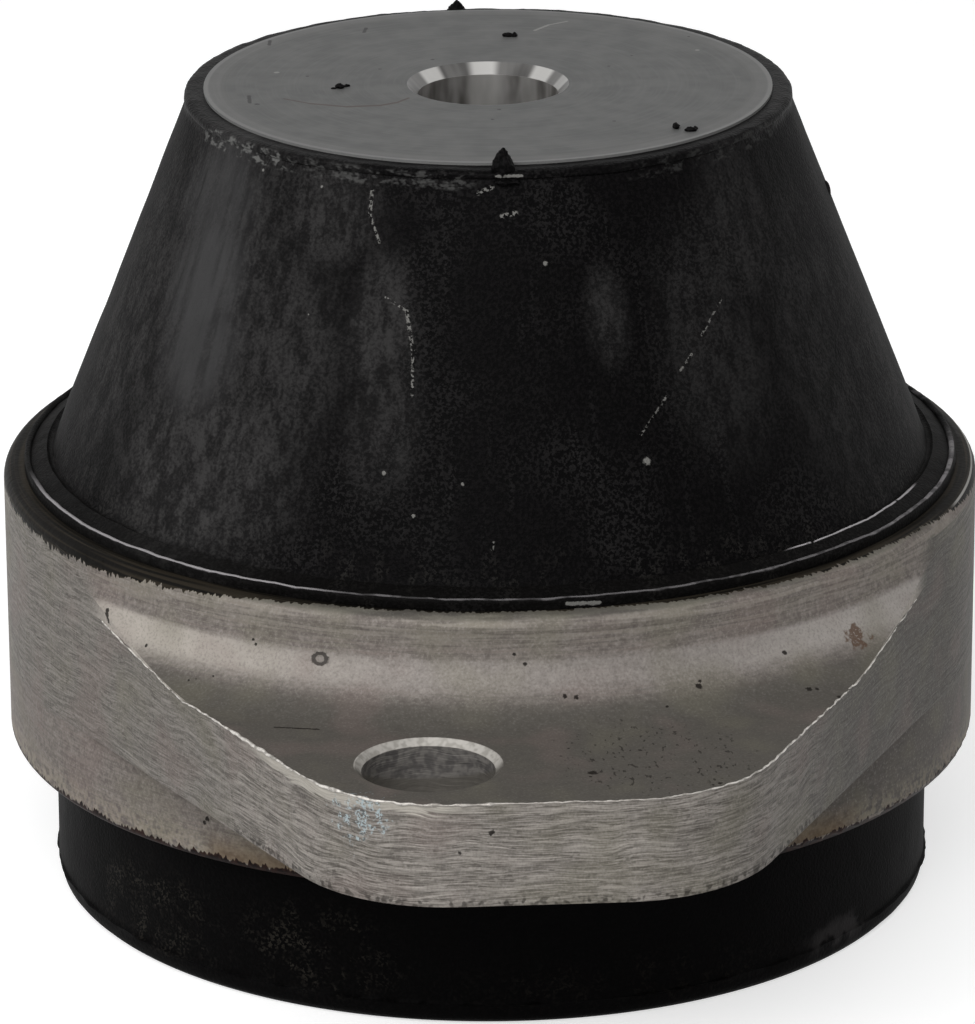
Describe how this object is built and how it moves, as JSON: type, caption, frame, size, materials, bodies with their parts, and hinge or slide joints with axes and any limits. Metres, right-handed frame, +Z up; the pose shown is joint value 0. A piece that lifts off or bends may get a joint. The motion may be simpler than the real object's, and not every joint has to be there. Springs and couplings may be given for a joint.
{
  "type": "engine mount",
  "caption": "Conical rubber-to-metal engine mount: tapered metal core bonded in a rubber cone, aluminium flange housing with bolt lugs, and a rubber rebound ring below.",
  "frame": {"origin": "on the axis of the centre bore, in the plane of the standing face under the rebound ring", "axes": "+Z up along the centre bore towards the core face; the two bolt lugs point along +Y and -Y; +X completes the right-handed frame"},
  "size_m": [0.13, 0.1932, 0.1117],
  "materials": {
    "core_metal": "dull machined face, bright bore",
    "spring_rubber": "moulded, satin, dusty",
    "housing_aluminium": "turned cove, rough drawn edges",
    "ring_rubber": "moulded, matt, worn at the edge"
  },
  "bodies": {
    "root": {"core_insert": "core_metal", "rubber_spring": "spring_rubber", "flange_housing": "housing_aluminium", "rebound_ring": "ring_rubber"}
  },
  "joints": []
}
